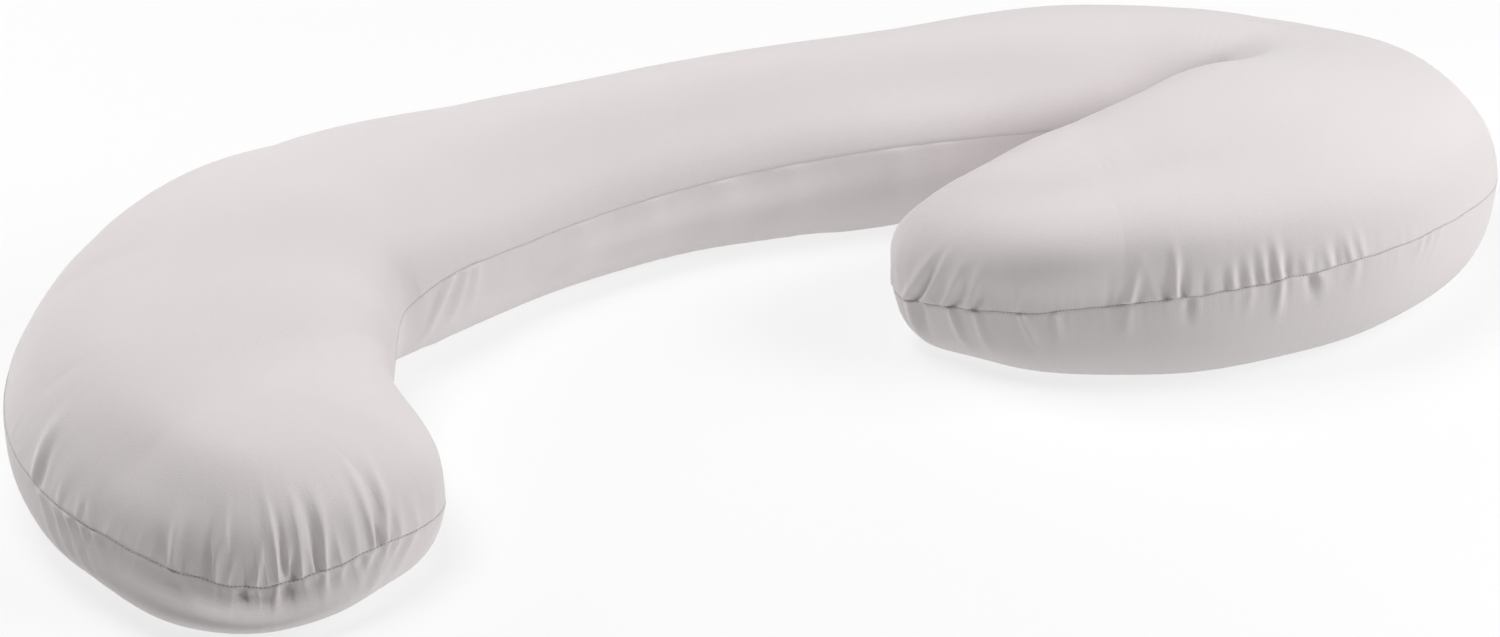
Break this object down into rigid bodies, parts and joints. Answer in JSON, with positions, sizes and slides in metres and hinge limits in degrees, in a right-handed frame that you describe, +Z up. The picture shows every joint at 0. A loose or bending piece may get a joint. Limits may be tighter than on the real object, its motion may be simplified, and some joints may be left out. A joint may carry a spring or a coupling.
{
  "type": "body pillow",
  "caption": "C-shaped full-length body pillow: one stuffed piece of two equal cotton panels joined by a single seam round its edge, with a rounded short hook and a fuller curled hook.",
  "frame": {"origin": "centre of the bottom of the bounding box, on the surface the pillow lies on", "axes": "+X along the long back of the C, from the smaller hook towards the fuller one; +Y from the open side of the C towards the outside of the long back; +Z up, out of the upper panel"},
  "size_m": [1.4042, 0.5798, 0.2158],
  "materials": {
    "cover": "matt plain-woven cotton, pale warm grey"
  },
  "bodies": {
    "root": {"pillow": "cover"}
  },
  "joints": []
}
